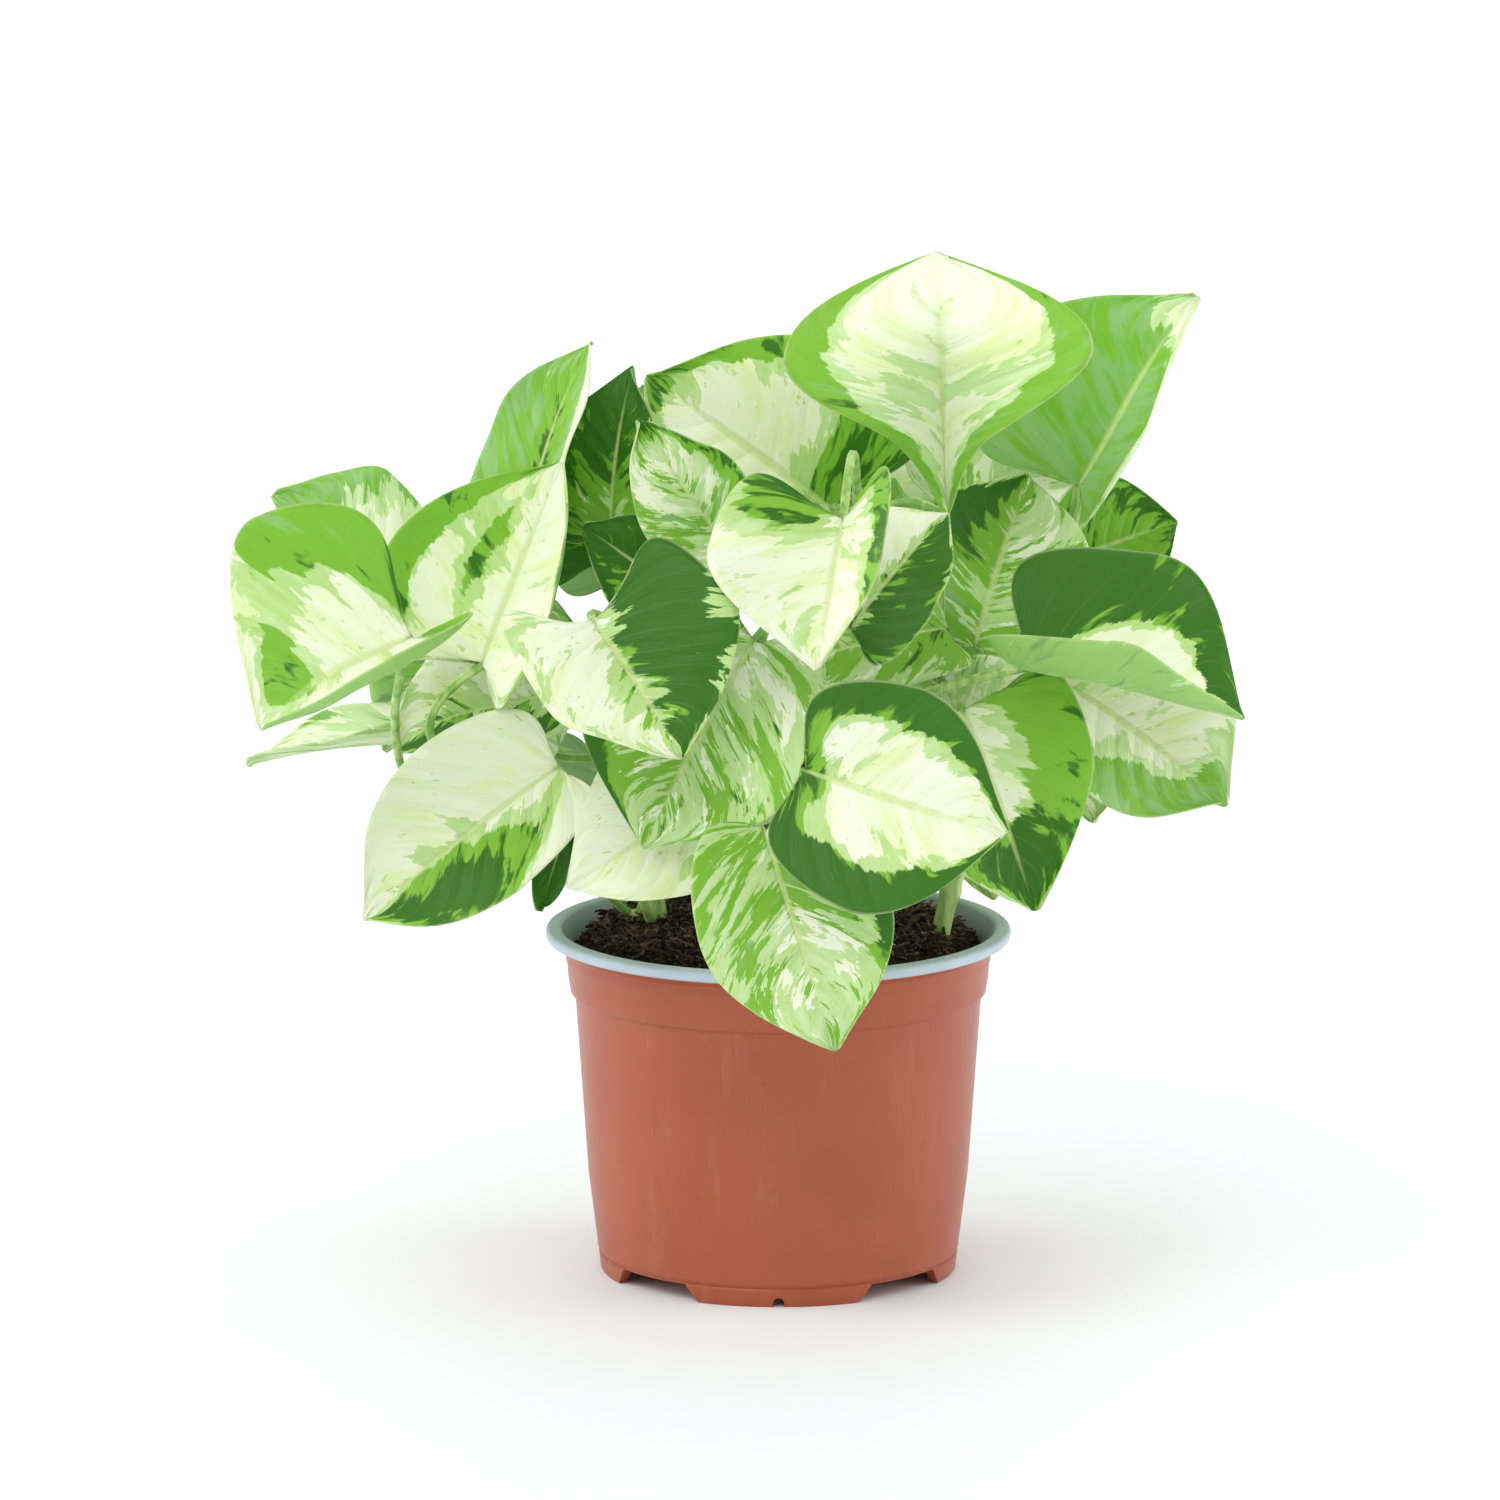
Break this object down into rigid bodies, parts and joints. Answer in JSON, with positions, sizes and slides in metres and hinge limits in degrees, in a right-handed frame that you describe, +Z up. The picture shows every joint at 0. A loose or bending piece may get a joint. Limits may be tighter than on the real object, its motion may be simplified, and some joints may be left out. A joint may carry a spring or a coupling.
{
  "type": "potted pothos plant",
  "caption": "Variegated green and cream pothos houseplant with heart-shaped leaves, in a terracotta-coloured plastic nursery pot on notched feet.",
  "frame": {"origin": "on the floor, under the middle of the whole plant's bounding box; the pot's axis is a few millimetres to one side", "axes": "+Z up out of the pot; -Y is the front, the side the fullest leaves face; +X is to the right seen from the front"},
  "size_m": [0.255, 0.268, 0.2706],
  "materials": {
    "terracotta_plastic": "satin",
    "compost": "matte",
    "green_stem": "satin",
    "variegated_leaf": "satin"
  },
  "bodies": {
    "root": {"pot": "terracotta_plastic", "soil": "compost", "stem_left": "green_stem", "stem_back_left": "green_stem", "stem_front": "green_stem", "stem_middle": "green_stem", "stem_right": "green_stem", "stem_back": "green_stem", "stem_back_right": "green_stem", "leaf_top": "variegated_leaf", "leaf_top_right": "variegated_leaf", "leaf_back_cream": "variegated_leaf", "leaf_dark_point": "variegated_leaf", "leaf_left_tall": "variegated_leaf", "leaf_left_cream": "variegated_leaf", "leaf_far_left": "variegated_leaf", "leaf_far_left_back": "variegated_leaf", "leaf_square": "variegated_leaf", "leaf_dark_a": "variegated_leaf", "leaf_dark_b": "variegated_leaf", "leaf_left_under": "variegated_leaf", "leaf_left_edge": "variegated_leaf", "leaf_bottom_left": "variegated_leaf", "leaf_rolled": "variegated_leaf", "leaf_low_cream": "variegated_leaf", "leaf_front_marbled": "variegated_leaf", "leaf_centre_dark": "variegated_leaf", "leaf_upper_centre": "variegated_leaf", "leaf_centre_fold": "variegated_leaf", "leaf_mid_under": "variegated_leaf", "leaf_behind_blue": "variegated_leaf", "leaf_grey_mid": "variegated_leaf", "leaf_dark_centre": "variegated_leaf", "leaf_front_right": "variegated_leaf", "leaf_front_low": "variegated_leaf", "leaf_right_centre": "variegated_leaf", "leaf_behind_yellow": "variegated_leaf", "leaf_right_behind": "variegated_leaf", "leaf_right_big": "variegated_leaf", "leaf_right_small": "variegated_leaf", "leaf_right_lower": "variegated_leaf", "leaf_white_green": "variegated_leaf", "leaf_right_inner": "variegated_leaf", "leaf_dark_right": "variegated_leaf", "leaf_back_a": "variegated_leaf", "leaf_back_b": "variegated_leaf", "leaf_back_c": "variegated_leaf", "leaf_back_d": "variegated_leaf", "leaf_back_e": "variegated_leaf", "leaf_back_f": "variegated_leaf", "leaf_back_g": "variegated_leaf", "leaf_back_h": "variegated_leaf", "leaf_back_i": "variegated_leaf", "leaf_back_j": "variegated_leaf", "leaf_back_k": "variegated_leaf", "leaf_back_l": "variegated_leaf", "leaf_right_back": "variegated_leaf"}
  },
  "joints": []
}
